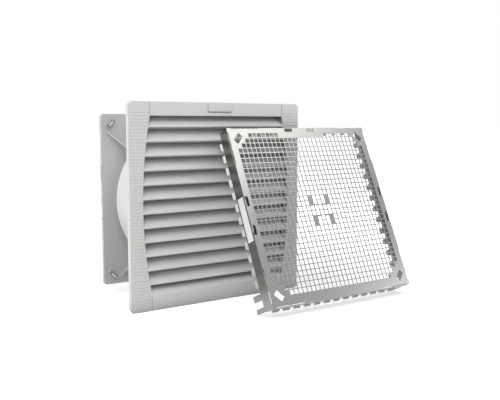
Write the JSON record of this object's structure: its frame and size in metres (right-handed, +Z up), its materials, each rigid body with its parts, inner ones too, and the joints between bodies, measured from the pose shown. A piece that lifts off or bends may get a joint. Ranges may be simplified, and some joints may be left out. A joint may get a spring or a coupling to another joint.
{
  "type": "cabinet filter fan with shield tray",
  "caption": "Square louvred fan unit for a cabinet wall, with filter mat, round duct, rear plate and axial fan, and a punched metal shield tray leaning on its cover.",
  "frame": {"origin": "centre of the cabinet wall's cut-out, in the plane where the flange seats", "axes": "+Y into the cabinet along the fan's shaft, +Z up, +X to the right seen from outside"},
  "size_m": [0.444, 0.3094, 0.32],
  "materials": {
    "cover_plastic": "fine spark-eroded texture, light grey",
    "housing_plastic": "smooth moulded, light grey",
    "clip_plastic": "smooth moulded, mid grey",
    "gasket_foam": "closed-cell foam",
    "mat_fibre": "bonded fibre fleece",
    "spring_steel": "cold rolled, bright",
    "screw_steel": "zinc plated",
    "support_steel": "black powder coat",
    "motor_aluminium": "die cast",
    "bearing_steel": "ground",
    "core_steel": "laminated sheet edges",
    "winding_copper": "lacquered copper wire",
    "rotor_black": "satin black lacquer",
    "magnet_ferrite": "ground",
    "terminal_plastic": "moulded, near black",
    "shield_steel": "rolled stainless sheet, punched and folded",
    "label_film": "blank film"
  },
  "bodies": {
    "housing": {"mounting_frame": "housing_plastic", "hinge_pins": "spring_steel", "panel_gasket": "gasket_foam", "filter_mat": "mat_fibre", "panel_clips": "spring_steel", "air_duct": "housing_plastic", "duct_screws": "screw_steel", "rear_plate": "housing_plastic", "corner_clips": "clip_plastic", "motor_support": "support_steel", "finger_guard": "support_steel", "guard_screws": "screw_steel", "stator_base": "motor_aluminium", "front_bearing": "bearing_steel", "rear_bearing": "bearing_steel", "stator_core": "core_steel", "stator_windings": "winding_copper", "terminal_housing": "terminal_plastic", "terminal_screws": "screw_steel"},
    "cover": {"louvre_cover": "cover_plastic", "latch_pin": "spring_steel", "latch_spring": "spring_steel"},
    "latch": {"latch_tab": "cover_plastic"},
    "rotor": {"rotor_can": "rotor_black", "rotor_magnets": "magnet_ferrite", "rotor_shaft": "bearing_steel", "shaft_clip": "spring_steel", "impeller_blades": "rotor_black"},
    "shield": {"shield_tray": "shield_steel", "mesh_front": "shield_steel", "mesh_rear": "shield_steel", "shield_label": "label_film", "contact_strip_bottom": "spring_steel", "contact_strip_top": "spring_steel", "contact_strip_left": "spring_steel", "contact_strip_right": "spring_steel"}
  },
  "joints": [
    {"name": "shield_slide", "type": "slide", "parent": "housing", "child": "shield", "axis": [0, -1, 0], "range_m": [0, 0.5]},
    {"name": "cover_hinge", "type": "hinge", "parent": "housing", "child": "cover", "pos_m": [0, -0.0042, -0.1562], "axis": [1, 0, 0], "range_deg": [0, 70]},
    {"name": "latch_hinge", "type": "hinge", "parent": "cover", "child": "latch", "pos_m": [0, -0.005, 0.1482], "axis": [1, 0, 0], "range_deg": [0, 15], "stiffness_Nm_per_rad": 0.05, "springref_deg": -11.46},
    {"name": "rotor_spin", "type": "hinge", "parent": "housing", "child": "rotor", "pos_m": [0, 0.11, 0], "axis": [0, 1, 0], "continuous": true}
  ],
  "couplings": [
    {"joint": "cover_hinge", "follows": "shield_slide", "rad_per_m": 2.4435}
  ]
}
